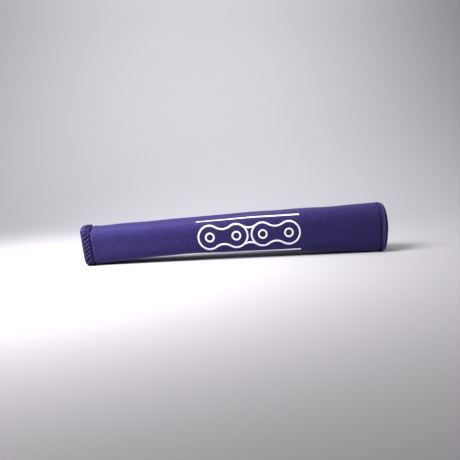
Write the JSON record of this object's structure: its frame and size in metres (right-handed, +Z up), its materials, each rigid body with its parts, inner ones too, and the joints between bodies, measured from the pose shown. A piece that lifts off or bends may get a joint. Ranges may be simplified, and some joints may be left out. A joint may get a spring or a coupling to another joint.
{
  "type": "chainstay protector",
  "caption": "Tapered neoprene sleeve that closes with hook and loop tape around a bicycle's right chainstay, overlocked at both ends and printed on its outer side.",
  "frame": {"origin": "on the surface that the sleeve lies on, under the middle of its bounding box", "axes": "+X forward to the tall end at the bottom bracket, +Y in to the wheel and the closure, +Z up"},
  "size_m": [0.2558, 0.0368, 0.0425],
  "materials": {
    "neoprene": "jersey-faced, matt",
    "thread": "textured polyester",
    "loop": "brushed pile",
    "hook": "moulded hooks on woven tape",
    "print": "matt film"
  },
  "bodies": {
    "root": {"neoprene_panel": "neoprene", "loop_tape": "loop", "hook_tape": "hook", "loop_tape_seam_upper": "thread", "loop_tape_seam_lower": "thread", "hook_tape_seam_upper": "thread", "hook_tape_seam_lower": "thread", "rear_overlock": "thread", "front_overlock": "thread", "print_chain": "print", "print_pin_1": "print", "print_pin_2": "print", "print_pin_3": "print", "print_pin_4": "print", "print_line_upper": "print", "print_line_lower": "print"}
  },
  "joints": []
}
